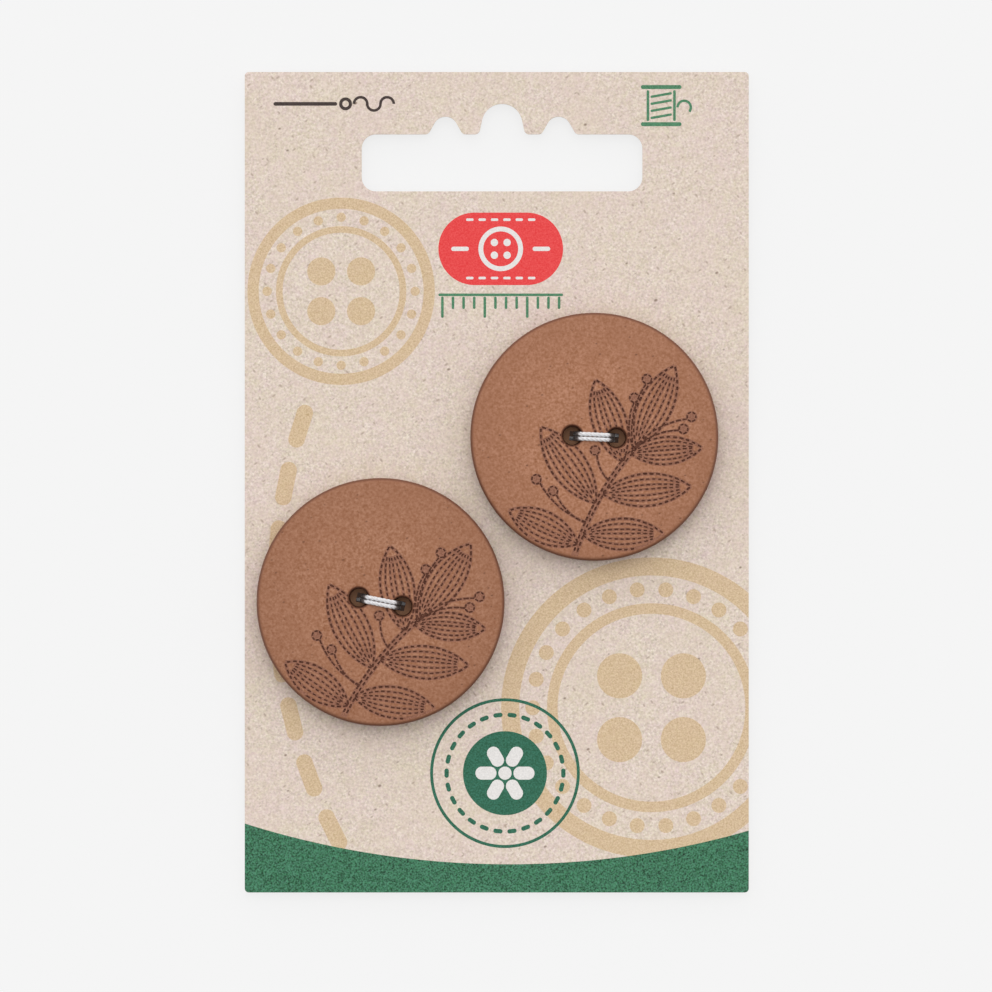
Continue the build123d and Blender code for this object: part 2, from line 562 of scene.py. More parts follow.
@dataclass(frozen=True)
class SpunThread(Finish):
    """White polyester sewing thread, spun from short fibres and twisted.

    That gives a bright, slightly silky white with a faint grey between its fibres. Between the board's
    back and the button's face, down the holes and slits, the thread carries painted dark brown shade.
    """

    name: str = "spun_polyester_thread"
    white: str = "ecebec"
    shade: str = "c6c3c6"
    # Painted shade down the holes and slits, between the board's back and the button's face
    thread_hole_shade: str = "54453e"
    thread_hole_shade_share: float = 0.9
    thread_hole_shade_fade_mm: tuple[float, float] = (-0.1, 0.3)
    # The real fibres are finer, and are drawn as coarse as they need to show
    fibre_mm: float = 0.07
    fibre_span: tuple[float, float] = (0.3, 0.6)
    tooth: float = 0.4
    roughness: float = 0.55
    sheen: float = 0.25
    sheen_roughness: float = 0.4

    def shader(self, recipe: Recipe) -> Socket:
        """Builds the thread's nodes.

        Args:
            recipe: the nodes of the finish.

        Returns:
            The closing shader socket.
        """
        place = recipe.add("TexCoord", output="Object")
        fibres = recipe.add(
            "TexNoise", {"Vector": place, "Scale": per_metre(self.fibre_mm), "Detail": GRAIN_DETAIL}
        )
        darkest, palest = self.fibre_span
        tone = recipe.add("MapRange", {"Value": fibres, "From Min": darkest, "From Max": palest})
        colour = recipe.add(
            "Mix", {0: tone, MIX_A: linear(self.shade), MIX_B: linear(self.white)}, **COLOUR_MIX
        )
        # Painted dark brown shade on the thread down the holes and slits
        unshaded = self._outside_hole_shade(recipe, place)
        colour = recipe.add("Mix", {0: unshaded, MIX_A: linear(self.thread_hole_shade), MIX_B: colour}, **COLOUR_MIX)
        bump = recipe.add("Bump", {"Height": fibres, "Strength": self.tooth, "Distance": BUMP_HEIGHT})
        return recipe.add(
            "BsdfPrincipled",
            {
                "Base Color": colour,
                "Roughness": self.roughness,
                "Sheen Weight": self.sheen,
                "Sheen Roughness": self.sheen_roughness,
                "Normal": bump,
            },
        )

    def _outside_hole_shade(self, recipe: Recipe, place: Socket) -> Socket:
        """Tells how far the thread is free of its painted shade, by how far it lies over or under the
        holes and slits.

        Args:
            recipe: the nodes of the finish.
            place: the coordinates of a point.

        Returns:
            A value that grows to 1 outside them.
        """
        back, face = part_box("card")[0].z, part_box("button_upper")[1].z
        height = recipe.add("SeparateXYZ", {0: place}, "Z")
        level = recipe.add("Math", {0: height, 1: (back + face) / 2}, operation="SUBTRACT")
        away = recipe.add("Math", {0: level}, operation="ABSOLUTE")
        start, end = ((face - back) / 2 + fade * MM for fade in self.thread_hole_shade_fade_mm)
        return recipe.add(
            "MapRange",
            {"Value": away, "From Min": start, "From Max": end, "To Min": 1 - self.thread_hole_shade_share},
        )


@dataclass(frozen=True)
class PaleFloor(Finish):
    """Matte white table top, which fades to an even pale grey but keeps the soft shadow.

    Under the middle of the card, where it shows only through the thread slits, its upper side is dark.
    """

    name: str = "pale_studio_floor"
    colour: str = "f5f5f5"
    shade: str = "382c26"
    evenness: float = 0.85
    shade_centre: tuple[float, float, float] = (-1.05 * MM, -4.2 * MM, 0.0)
    shade_radius: float = 18.6 * MM

    def shader(self, recipe: Recipe) -> Socket:
        """Builds the floor's nodes.

        Args:
            recipe: the nodes of the finish.

        Returns:
            The closing shader socket.
        """
        place = recipe.add("TexCoord", output="Object")
        far = recipe.add("VectorMath", {0: place, 1: self.shade_centre}, "Value", operation="DISTANCE")
        beside = recipe.add("Math", {0: far, 1: self.shade_radius}, operation="GREATER_THAN")
        below = recipe.add("NewGeometry", output="Backfacing")
        pale = recipe.add("Math", {0: beside, 1: below}, operation="MAXIMUM")
        colour = recipe.add(
            "Mix", {0: pale, MIX_A: linear(self.shade), MIX_B: linear(self.colour)}, **COLOUR_MIX
        )
        lit = recipe.add("BsdfDiffuse", {"Color": colour})
        even = recipe.add("Emission", {"Color": colour})
        camera = recipe.add("LightPath", output="Is Camera Ray")
        glossy = camera.node.outputs["Is Glossy Ray"]
        direct = recipe.add("Math", {0: camera, 1: glossy}, operation="MAXIMUM")
        share = recipe.add("MapRange", {"Value": direct, "To Max": self.evenness})
        return recipe.add("MixShader", {0: share, 1: lit, 2: even})


def add_object(name: str, data: bpy.types.ID) -> bpy.types.Object:
    """Puts a new object into the scene.

    Args:
        name: the object's name.
        data: its mesh, light or lens.

    Returns:
        The linked object.
    """
    thing = bpy.data.objects.new(name, data)
    bpy.context.scene.collection.objects.link(thing)
    return thing


def dressed_mesh(name: str, shape: Shape, *finishes: Finish) -> bpy.types.Mesh:
    """Turns a bmesh into a mesh.

    Args:
        name: the mesh's name.
        shape: its form, which is freed here.
        finishes: the finishes of its material slots, in order.

    Returns:
        The mesh with its materials.
    """
    mesh = bpy.data.meshes.new(name)
    shape.to_mesh(mesh)
    shape.free()
    for finish in finishes:
        mesh.materials.append(finish.material())
    return mesh


def draw_apart(shape: Shape, verts: list[bmesh.types.BMVert], length: float) -> None:
    """Draws the halves of a round shape apart along X by a length, which makes it a long one.

    Args:
        shape: the mesh that has it.
        verts: its vertices, none of them on the middle line.
        length: how far the halves go apart.
    """
    for side in (-1, 1):
        half = [vert for vert in verts if vert.co.x * side > 0]
        bmesh.ops.translate(shape, verts=half, vec=(side * length / 2, 0, 0))


def flat_place(centre: Sequence[float], angle: float = 0.0) -> Matrix:
    """Place of a flat shape: its centre in millimetres and its turn in degrees."""
    x, y = centre
    return Matrix.Translation((x * MM, y * MM, 0)) @ Matrix.Rotation(math.radians(angle), 4, "Z")


def around(centre: Sequence[float], radius: float, turn: float) -> tuple[float, float]:
    """Point at a radius and a turn in degrees round a centre."""
    x, y = centre
    return x + radius * math.cos(math.radians(turn)), y + radius * math.sin(math.radians(turn))


def even_turns(count: int, first: float = 0.0) -> list[float]:
    """Turns in degrees that share a full circle evenly."""
    return [first + 360 * step / count for step in range(count)]


@dataclass
class InkFilm:
    """Flat printed shapes of one ink, which get a hair's thickness on the board.

    All sizes that its methods take are in millimetres, from the middle of the card.
    """

    ink: Ink
    name: str
    shape: Shape = field(default_factory=bmesh.new)
    thickness_mm: float = 0.004
    ring_steps: int = 96
    fewest_steps: int = 8

    def disc(self, centre: Sequence[float], radius: float, segments: int = 40) -> None:
        """Prints a filled disc."""
        place = flat_place(centre)
        bmesh.ops.create_circle(
            self.shape, cap_ends=True, segments=segments, radius=radius * MM, matrix=place
        )

    def ring(
        self,
        centre: Sequence[float],
        radius: float,
        width: float,
        start: float = 0.0,
        sweep: float = 360.0,
    ) -> None:
        """Prints a ring or a stretch of one.

        Args:
            centre: its middle.
            radius: of the ring's middle line.
            width: of the line.
            start: where the stretch starts, in degrees from +X.
            sweep: how far it goes, in degrees.
        """
        place = flat_place(centre, start)
        ends = [
            self.shape.verts.new(place @ Vector(((radius + side * width / 2) * MM, 0, 0)))
            for side in (-1, 1)
        ]
        across = self.shape.edges.new(ends)
        bmesh.ops.spin(
            self.shape,
            geom=[*ends, across],
            cent=place.translation,
            axis=UP,
            angle=math.radians(sweep),
            steps=max(self.fewest_steps, round(abs(sweep) / 360 * self.ring_steps)),
            use_merge=abs(sweep) == 360.0,
        )

    def dash(
        self,
        centre: Sequence[float],
        length: float,
        width: float,
        angle: float = 0.0,
        segments: int = 16,
    ) -> None:
        """Prints a round-ended dash.

        Args:
            centre: its middle.
            length: from end to end.
            width: across.
            angle: of its long axis, in degrees from +X.
            segments: round both of its ends together, a multiple of four.
        """
        # Half a segment's turn leaves no vertex on the middle line, so the halves part cleanly
        made = bmesh.ops.create_circle(
            self.shape,
            cap_ends=True,
            segments=segments,
            radius=width / 2 * MM,
            matrix=Matrix.Rotation(math.pi / segments, 4, "Z"),
        )["verts"]
        draw_apart(self.shape, made, (length - width) * MM)
        bmesh.ops.transform(self.shape, matrix=flat_place(centre, angle), verts=made)

    def dashes_round(
        self,
        centre: Sequence[float],
        radius: float,
        turns: Iterable[float],
        length: float,
        width: float,
        lean: float = 90.0,
    ) -> None:
        """Prints dashes round a centre.

        Args:
            centre: the middle of their circle.
            radius: of the circle.
            turns: where the dashes lie, in degrees from +X.
            length: of a dash.
            width: of a dash.
            lean: a dash's turn from its spoke, in degrees.
        """
        for turn in turns:
            self.dash(around(centre, radius, turn), length, width, turn + lean)

    def lay(self, level_mm: float) -> bpy.types.Object:
        """Trims the shapes to the card and gives them their thickness.

        Args:
            level_mm: height of the film's underside over the printed face.

        Returns:
            The finished piece of print.
        """
        low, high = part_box("card")
        for corner, outwards in ((low, -1), (high, 1)):
            for axis in (0, 1):
                normal = Vector((0, 0, 0))
                normal[axis] = outwards
                bmesh.ops.bisect_plane(
                    self.shape,
                    geom=[*self.shape.verts, *self.shape.edges, *self.shape.faces],
                    plane_co=corner,
                    plane_no=normal,
                    clear_outer=True,
                )
        bmesh.ops.remove_doubles(self.shape, verts=self.shape.verts, dist=MERGE_DISTANCE)
        top = bmesh.ops.extrude_face_region(self.shape, geom=self.shape.faces[:])["geom"]
        raised = [part for part in top if isinstance(part, bmesh.types.BMVert)]
        bmesh.ops.translate(self.shape, verts=raised, vec=(0, 0, self.thickness_mm * MM))
        height = high.z + level_mm * MM
        bmesh.ops.translate(self.shape, verts=self.shape.verts, vec=(0, 0, height))
        bmesh.ops.recalc_face_normals(self.shape, faces=self.shape.faces)
        mesh = dressed_mesh(self.name, self.shape, self.ink.value)
        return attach(add_object(self.name, mesh), BODY)


@dataclass
class PrintedCard:
    """The kraft card: the carried-over board and what is printed on it, in millimetres."""

    corner_radius: float = 0.45
    band_left: float = -38.6
    band_right: float = -39.4
    band_lowest: float = -43.2
    label_centre: tuple[float, float] = (0.45, 26.4)
    label_size: tuple[float, float] = (14.1, 8.2)
    badge_centre: tuple[float, float] = (0.93, -32.9)
    badge_radius: float = 8.3
    spool_centre: tuple[float, float] = (18.6, 42.6)
    needle_centre: tuple[float, float] = (-19.0, 42.8)
    level_step: float = 0.001
    pieces: list[bpy.types.Object] = field(default_factory=list)

    def build(self) -> None:
        """Prints the inks one over the other."""
        films = [self._watermark(), self._band(), *self._label(), *self._badge()]
        films += [self._spool(), self._needle()]
        for order, film in enumerate(films):
            self.pieces.append(film.lay(order * self.level_step))

    def dress(self) -> None:
        """Gives the carried-over board its finish."""
        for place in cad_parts["card"].material_slots:
            place.material = KraftBoard().material()

    def _watermark(self) -> InkFilm:
        """Large pale sewing motifs: two buttons, and a running stitch down the left side.

        Returns:
            The ochre film.
        """
        film = InkFilm(Ink.OCHRE, "print_watermark")
        self._button_mark(film, (17.5, -25.5), 17.0, 26)
        self._button_mark(film, (-17.6, 21.6), 10.6, 20)
        stitch_centre, stitch_radius = (36.0, -12.0), 61.0
        turns = [162.5 + step * 6.3 for step in range(9)]
        film.dashes_round(stitch_centre, stitch_radius, turns, 5.0, 1.9)
        return film

    @staticmethod
    def _button_mark(film: InkFilm, centre: tuple[float, float], radius: float, dots: int) -> None:
        """Prints the outline of a four-hole button.

        Args:
            film: the film that takes it.
            centre: its middle.
            radius: of its rim, which its other sizes are shares of.
            dots: how many dots run round it inside the rim.
        """
        for ring_share, width_share in ((0.94, 0.12), (0.66, 0.07)):
            film.ring(centre, ring_share * radius, width_share * radius)
        for turn in even_turns(4, 45):
            film.disc(around(centre, 0.3 * radius, turn), 0.15 * radius)
        for turn in even_turns(dots):
            film.disc(around(centre, 0.79 * radius, turn), 0.05 * radius, 20)

    def _band(self) -> InkFilm:
        """The green flood at the foot of the card, with a hollow upper edge.

        Returns:
            Its film.
        """
        film = InkFilm(Ink.FOREST, "print_band")
        low, high = (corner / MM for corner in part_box("card"))
        rise = (self.band_left + self.band_right) / 2 - self.band_lowest
        hollow_radius = (high.x**2 + rise**2) / (2 * rise)
        lean = (self.band_right - self.band_left) / (high.x - low.x)
        made = bmesh.ops.create_grid(film.shape, x_segments=48, y_segments=1, size=1.0)["verts"]
        corners = [vert for vert in made if vert.co.y < 0 and abs(vert.co.x) == 1]
        for vert in made:
            x = vert.co.x * high.x
            sag = hollow_radius - math.sqrt(hollow_radius**2 - x**2)
            y = self.band_lowest + sag + lean * x if vert.co.y > 0 else low.y
            vert.co = Vector((x, y, 0)) * MM
        bmesh.ops.bevel(
            film.shape,
            geom=corners,
            offset=self.corner_radius * MM,
            segments=5,
            profile=0.5,
            affect="VERTICES",
            material=-1,
        )
        return film

    def _label(self) -> list[InkFilm]:
        """A red label with a white button and stitches, and a green tape measure under it.

        Returns:
            The films of the label, its motif and the tape measure.
        """
        x, y = self.label_centre
        ground = InkFilm(Ink.RED, "print_label")
        ground.dash((x, y), *self.label_size, segments=96)
        motif = InkFilm(Ink.WHITE, "print_label_motif")
        motif.ring((x, y), 2.25, 0.55)
        hole_offset, stitch_pitch = 0.72, 1.4
        for side in (-1, 1):
            for height in (-1, 1):
                motif.disc((x + side * hole_offset, y + height * hole_offset), 0.42, 20)
            motif.dash((x + side * 4.6, y), 2.0, 0.5)
            for stitch in range(6):
                motif.dash((x + (stitch - 2.5) * stitch_pitch, y + side * 3.3), 0.85, 0.3)
        tape = InkFilm(Ink.LEAF, "print_tape_measure")
        tape.dash((x, y - 5.2), self.label_size[0], 0.3)
        tick_pitch, tick_top = 1.2, y - 5.4
        for tick in range(12):
            length = 2.4 if tick % 4 == 0 else 1.4
            tape.dash((x + (tick - 5.5) * tick_pitch, tick_top - length / 2), length, 0.3, 90)
        return [ground, motif, tape]

    def _badge(self) -> list[InkFilm]:
        """A green badge: a line ring, a ring of stitches and a disc with a white flower.

        Returns:
            The films of the badge and the flower.
        """
        badge = InkFilm(Ink.GREEN, "print_badge")
        badge.ring(self.badge_centre, self.badge_radius, 0.34)
        badge.dashes_round(self.badge_centre, 6.6, even_turns(26), 1.05, 0.5)
        badge.disc(self.badge_centre, 4.75, 72)
        flower = InkFilm(Ink.WHITE, "print_badge_flower")
        flower.dashes_round(self.badge_centre, 2.15, even_turns(6), 2.4, 1.5, lean=0)
        flower.disc(self.badge_centre, 0.75, 24)
        return [badge, flower]

    def _spool(self) -> InkFilm:
        """A line drawing of a thread spool.

        Returns:
            Its film.
        """
        film = InkFilm(Ink.LEAF, "print_spool")
        x, y = self.spool_centre
        for side in (-1, 1):
            film.dash((x, y + side * 2.1), 4.6, 0.46)
            film.dash((x + side * 1.5, y), 3.5, 0.3, 90)
        wrap_pitch = 0.8
        for wrap in range(4):
            film.dash((x, y + (wrap - 1.5) * wrap_pitch), 2.45, 0.28, 10)
        film.ring((x + 2.6, y - 0.2), 0.75, 0.28, 180, -220)
        return film

    def _needle(self) -> InkFilm:
        """A line drawing of a needle that trails its thread.

        Returns:
            Its film.
        """
        film = InkFilm(Ink.GREY, "print_needle")
        x, y = self.needle_centre
        film.dash((x - 2.65, y), 7.2, 0.42)
        film.ring((x + 1.9, y), 0.55, 0.36)
        wave_radius = 0.75
        for wave in range(3):
            centre = (x + 3.6 + wave * 2 * wave_radius, y)
            film.ring(centre, wave_radius, 0.3, 180 if wave % 2 else 0, 180)
        return film


@dataclass(frozen=True)
class Arc:
    """A circular arc on a button's face, in metres from the button's middle."""

    centre: Vector
    radius: float
    start: float
    sweep: float

    @classmethod
    def through(cls, first: Vector, middle: Vector, last: Vector) -> "Arc":
        """Makes the arc from one point to another by way of a third.

        Args:
            first: where it starts.
            middle: a point on the way.
            last: where it ends.

        Returns:
            The arc.
        """
        a, b = middle - first, last - first
        double_area = 2 * (a.x * b.y - a.y * b.x)
        offset = Vector((
            (b.y * a.length_squared - a.y * b.length_squared) / double_area,
            (a.x * b.length_squared - b.x * a.length_squared) / double_area,
        ))
        begin = math.atan2(-offset.y, -offset.x)
        end = math.atan2(b.y - offset.y, b.x - offset.x)
        sweep = (end - begin) % math.tau
        if double_area < 0:
            sweep -= math.tau
        return cls(first + offset, offset.length, begin, sweep)

    def part(self, first: float, share: float) -> "Arc":
        """Stretch of the arc, from a share of the way and over another share of it."""
        return Arc(self.centre, self.radius, self.start + self.sweep * first, self.sweep * share)

    @property
    def length(self) -> float:
        """Length along the arc."""
        return abs(self.sweep) * self.radius

    def point(self, share: float) -> Vector:
        """Point at a share of the way along."""
        turn = self.start + self.sweep * share
        return self.centre + Vector((math.cos(turn), math.sin(turn))) * self.radius

    def heading(self, share: float) -> float:
        """Direction of travel at a share of the way along, in radians."""
        return self.start + self.sweep * share + math.copysign(math.pi / 2, self.sweep)


@dataclass(frozen=True)
class BurnLine:
    """How the laser draws one kind of line, in metres: its pits, the gaps between them and its haze."""

    width: float
    depth: float
    dash: float
    gap: float
    haze: float


class Burn(Enum):
    """The kinds of line on a button's face."""

    OUTLINE = BurnLine(0.24 * MM, 0.14 * MM, 0.50 * MM, 0.22 * MM, 0.40 * MM)
    VEIN = BurnLine(0.20 * MM, 0.12 * MM, 0.44 * MM, 0.24 * MM, 0.34 * MM)
    STALK = BurnLine(0.20 * MM, 0.12 * MM, 0.60 * MM, 0.10 * MM, 0.34 * MM)
    BERRY = BurnLine(0.20 * MM, 0.12 * MM, 0.42 * MM, 0.10 * MM, 0.34 * MM)


@dataclass
class Twig:
    """The leafy twig with berries on a button's face, as lines that the laser burns.

    Its tables hold shares of the button's radius. A leaf is the share of the way along the stem, its
    turn from the stem in degrees, and its length and width. A berry has its stalk's length instead.
    """

    radius: float
    stem: tuple = ((-0.12, -0.99), (0.06, -0.50), (0.34, -0.06))
    leaves: tuple = (
        (0.12, 84, 0.62, 0.25),
        (0.20, -68, 0.66, 0.25),
        (0.46, 64, 0.76, 0.28),
        (0.55, -55, 0.72, 0.26),
        (0.84, 56, 0.70, 0.27),
        (0.93, -46, 0.58, 0.22),
        (1.00, 16, 0.72, 0.27),
    )
    berries: tuple = (
        (0.30, 74, 0.50),
        (0.29, 70, 0.34),
        (0.66, 58, 0.24),
        (0.97, 30, 0.54),
        (0.97, 40, 0.38),
        (0.97, -20, 0.50),
        (0.97, -27, 0.40),
    )
    berry_share: float = 0.035
    stem_half_width: float = 0.19 * MM
    vein_shares: tuple = (0.66, 0.32)
    vein_start_share: float = 0.1
    vein_length_share: float = 0.78
    midrib_share: float = 0.88
    midrib_bend_share: float = 0.02
    stalk_bend_share: float = 0.1

    def arcs(self) -> Iterator[tuple[Arc, Burn]]:
        """Draws the twig line by line.

        Yields:
            Each line and how it is burnt.
        """
        stem = Arc.through(*[Vector(share) * self.radius for share in self.stem])
        for side in (-1, 1):
            offset = side * self.stem_half_width
            yield Arc(stem.centre, stem.radius + offset, stem.start, stem.sweep), Burn.OUTLINE
        for drawing, table in ((self._leaf, self.leaves), (self._berry, self.berries)):
            for along, turn, *shares in table:
                heading = stem.heading(along) + math.radians(turn)
                sizes = [share * self.radius for share in shares]
                yield from drawing(stem.point(along), heading, *sizes)

    def _leaf(
        self, base: Vector, heading: float, length: float, width: float
    ) -> Iterator[tuple[Arc, Burn]]:
        """Draws a leaf's outline, its veins and its midrib.

        Args:
            base: where it leaves the stem.
            heading: its direction in radians.
            length: from base to tip.
            width: across its belly.

        Yields:
            Each line and how it is burnt.
        """
        forward = Vector((math.cos(heading), math.sin(heading)))
        sideways = forward.orthogonal()
        middle = base + forward * length / 2
        tip = base + forward * length
        for side in (-1, 1):
            belly = sideways * side * width / 2
            yield Arc.through(base, middle + belly, tip), Burn.OUTLINE
            for share in self.vein_shares:
                vein = Arc.through(base, middle + belly * share, tip)
                yield vein.part(self.vein_start_share, self.vein_length_share), Burn.VEIN
        # A very slight bend keeps the midrib an arc
        midrib = Arc.through(base, middle + sideways * width * self.midrib_bend_share, tip)
        yield midrib.part(0, self.midrib_share), Burn.VEIN

    def _berry(self, base: Vector, heading: float, length: float) -> Iterator[tuple[Arc, Burn]]:
        """Draws a berry on its stalk.

        Args:
            base: where the stalk leaves the stem.
            heading: its direction in radians.
            length: of the stalk.

        Yields:
            Each line and how it is burnt.
        """
        forward = Vector((math.cos(heading), math.sin(heading)))
        bend = forward.orthogonal() * length * self.stalk_bend_share
        end = base + forward * length
        yield Arc.through(base, base + forward * length / 2 + bend, end), Burn.STALK
        berry = self.berry_share * self.radius
        yield Arc(end + forward * berry, berry, heading + math.pi, math.tau), Burn.BERRY


@dataclass
class EngravedForm:
    """A flat two-hole button with a laser-engraved face, in its own frame with its back on z = 0."""

    node: str
    rim_round: float = 0.5 * MM
    hole_diameter: float = 2.3 * MM
    hole_foot: float = 2.0 * MM
    hole_spacing: float = 5.0 * MM
    hole_round: float = 0.3 * MM
    face_margin: float = 0.55 * MM
    overrun: float = 0.5 * MM
    haze_depth: float = 0.02 * MM
    haze_overrun: float = 0.2 * MM
    haze_step: float = math.radians(6)
    fewest_haze_steps: int = 4
    berry_segments: int = 24
    pit_foot_share: float = 0.72
    pit_segments: int = 8
    pit_length_spread: tuple[float, float] = (0.85, 1.12)
    pit_width_spread: tuple[float, float] = (0.88, 1.12)
    pit_stray: float = 0.012 * MM
    rim_segments: int = 160
    round_segments: int = 5
    hole_segments: int = 64
    sharp_angle: float = math.radians(32)
    seed: int = 11

    def __post_init__(self) -> None:
        """Reads the button's size from the frame."""
        low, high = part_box(self.node)
        self.radius = (high.x - low.x) / 2
        self.thickness = high.z - low.z

    def build(self) -> bpy.types.Mesh:
        """Makes the engraved button, which all the buttons of the card share.

        Returns:
            Its mesh.
        """
        finishes = [Moulding.UPPER.value, *[scorch.value for scorch in Scorch]]
        mesh = dressed_mesh("engraved_button", self._blank(), *finishes)
        for cutter in (self._holes(), self._engraving()):
            mesh = self._cut(mesh, cutter)
        mesh.shade_smooth()
        mesh.set_sharp_from_angle(angle=self.sharp_angle)
        return mesh

    def _blank(self) -> Shape:
        """The turned disc with its rounded upper rim.

        Returns:
            Its form.
        """
        shape = bmesh.new()
        bmesh.ops.create_cone(
            shape,
            cap_ends=True,
            segments=self.rim_segments,
            radius1=self.radius,
            radius2=self.radius,
            depth=self.thickness,
            matrix=Matrix.Translation((0, 0, self.thickness / 2)),
        )
        middle = self.thickness / 2
        rim = [edge for edge in shape.edges if all(v.co.z > middle for v in edge.verts)]
        bmesh.ops.bevel(
            shape,
            geom=rim,
            offset=self.rim_round,
            segments=self.round_segments,
            profile=0.5,
            affect="EDGES",
            material=-1,
        )
        return shape

    def _holes(self) -> Shape:
        """The two thread holes with their rounded mouths, which narrow a little towards the back.

        Returns:
            Their cutters.
        """
        shape = bmesh.new()
        foot = Vector((self.hole_foot / 2, 0, 0))
        outline = [-UP * self.overrun, foot - UP * self.overrun, foot]
        for step in range(self.round_segments + 1):
            turn = math.pi / 2 * step / self.round_segments
            x = self.hole_diameter / 2 + self.hole_round * (1 - math.cos(turn))
            z = self.thickness - self.hole_round * (1 - math.sin(turn))
            outline.append(Vector((x, 0, z)))
        outline.append(outline[-1] + UP * self.overrun)
        outline.append(Vector((0, 0, outline[-1].z)))
        for side in (-1, 1):
            centre = Vector((side * self.hole_spacing / 2, 0, 0))
            verts = [shape.verts.new(point + centre) for point in outline]
            edges = [shape.edges.new(pair) for pair in zip(verts, verts[1:])]
            bmesh.ops.spin(
                shape,
                geom=[*verts, *edges],
                cent=centre,
                axis=UP,
                angle=math.tau,
                steps=self.hole_segments,
                use_merge=True,
            )
        bmesh.ops.remove_doubles(shape, verts=shape.verts, dist=MERGE_DISTANCE)
        bmesh.ops.recalc_face_normals(shape, faces=shape.faces)
        return shape

    def _engraving(self) -> Shape:
        """The burnt twig: shallow strips of haze, and slightly uneven pits along them.

        Returns:
            Their cutters.
        """
        shape = bmesh.new()
        lines = list(Twig(self.radius).arcs())
        for arc, burn in lines:
            self._haze(shape, arc, burn.value.haze)
        for face in shape.faces:
            face.material_index = Scorch.HAZE.slot
        wander = random.Random(self.seed)
        for arc, burn in lines:
            line = burn.value
            dashes = max(1, round(arc.length / (line.dash + line.gap)))
            for dash in range(dashes):
                share = (dash + 0.5) / dashes
                length = line.dash * wander.uniform(*self.pit_length_spread)
                width = line.width * wander.uniform(*self.pit_width_spread)
                stray = [wander.gauss(0, self.pit_stray) for _ in range(2)]
                point = arc.point(share) + Vector(stray)
                if point.length < self.radius - self.face_margin:
                    self._pit(shape, point, arc.heading(share), length, width, line.depth)
        for face in shape.faces:
            face.material_index = face.material_index or Scorch.PIT.slot
        bmesh.ops.recalc_face_normals(shape, faces=shape.faces)
        return shape

    def _haze(self, shape: Shape, arc: Arc, width: float) -> None:
        """Adds the cutter of one line's haze, which fills a full ring.

        Args:
            shape: the mesh that takes it.
            arc: the line.
            width: of the haze.
        """
        low, high = self.thickness - self.haze_depth, self.thickness + self.haze_overrun
        if abs(arc.sweep) == math.tau:
            bmesh.ops.create_cone(
                shape,
                cap_ends=True,
                segments=self.berry_segments,
                radius1=arc.radius + width / 2,
                radius2=arc.radius + width / 2,
                depth=high - low,
                matrix=Matrix.Translation((*arc.centre, (low + high) / 2)),
            )
            return
        spoke = Vector((math.cos(arc.start), math.sin(arc.start)))
        corners = [
            shape.verts.new((*(arc.centre + spoke * (arc.radius + side * width / 2)), height))
            for side, height in ((-1, low), (1, low), (1, high), (-1, high))
        ]
        section = shape.faces.new(corners)
        bmesh.ops.spin(
            shape,
            geom=[*corners, *section.edges, section],
            cent=(*arc.centre, 0),
            axis=UP,
            angle=arc.sweep,
            steps=max(self.fewest_haze_steps, round(abs(arc.sweep) / self.haze_step)),
        )

    def _pit(
        self, shape: Shape, point: Vector, heading: float, length: float, width: float, depth: float
    ) -> None:
        """Adds the cutter of one dash.

        Args:
            shape: the mesh that takes it.
            point: the dash's middle on the face.
            heading: its direction in radians.
            length: from end to end.
            width: across.
            depth: below the face.
        """
        foot = width / 2 * self.pit_foot_share
        made = bmesh.ops.create_cone(
            shape,
            cap_ends=True,
            segments=self.pit_segments,
            radius1=foot,
            radius2=width / 2 + (width / 2 - foot) * self.overrun / depth,
            depth=depth + self.overrun,
            matrix=Matrix.Rotation(math.pi / self.pit_segments, 4, "Z"),
        )["verts"]
        draw_apart(shape, made, length - width)
        height = self.thickness - depth + (depth + self.overrun) / 2
        place = Matrix.Translation((point.x, point.y, height)) @ Matrix.Rotation(heading, 4, "Z")
        bmesh.ops.transform(shape, matrix=place, verts=made)

    @staticmethod
    def _cut(mesh: bpy.types.Mesh, cutter_shape: Shape) -> bpy.types.Mesh:
        """Cuts a shape out of a mesh.

        Args:
            mesh: what is cut, which is removed here.
            cutter_shape: the closed cutters, which may cross each other; freed here.

        Returns:
            The cut mesh, with the same materials.
        """
        cutter_mesh = dressed_mesh("cutter", cutter_shape)
        for material in mesh.materials:
            cutter_mesh.materials.append(material)
        blank, cutter = (add_object(part.name, part) for part in (mesh, cutter_mesh))
        cut = blank.modifiers.new("cut", "BOOLEAN")
        cut.operation = "DIFFERENCE"
        cut.solver = "EXACT"
        cut.use_self = True
        cut.object = cutter
        view = bpy.context.evaluated_depsgraph_get()
        result = bpy.data.meshes.new_from_object(blank.evaluated_get(view), depsgraph=view)
        for part in (blank, cutter):
            bpy.data.objects.remove(part)
        for part in (mesh, cutter_mesh):
            bpy.data.meshes.remove(part)
        return result


@dataclass
class TiedButton:
    """One button of the card, in its place and turned as its holes lie."""

    node: str
    form: EngravedForm
    mix: Moulding
    holes_angle: float

    def __post_init__(self) -> None:
        """Reads the button's place from the frame."""
        low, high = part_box(self.node)
        middle = (low + high) / 2
        turn = Matrix.Rotation(math.radians(self.holes_angle), 4, "Z")
        self.place = Matrix.Translation((middle.x, middle.y, low.z)) @ turn

    def build(self, engraved: bpy.types.Mesh) -> bpy.types.Object:
        """Puts a copy of the engraved button in its place.

        Args:
            engraved: the button's mesh in its own frame.

        Returns:
            The piece that stands for the CAD node.
        """
        name = f"{self.node}_engraved"
        mesh = engraved.copy()
        mesh.name = name
        mesh.materials[0] = self.mix.value.material()
        mesh.transform(self.place)
        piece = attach(add_object(name, mesh), BODY)
        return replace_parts(piece, self.node)


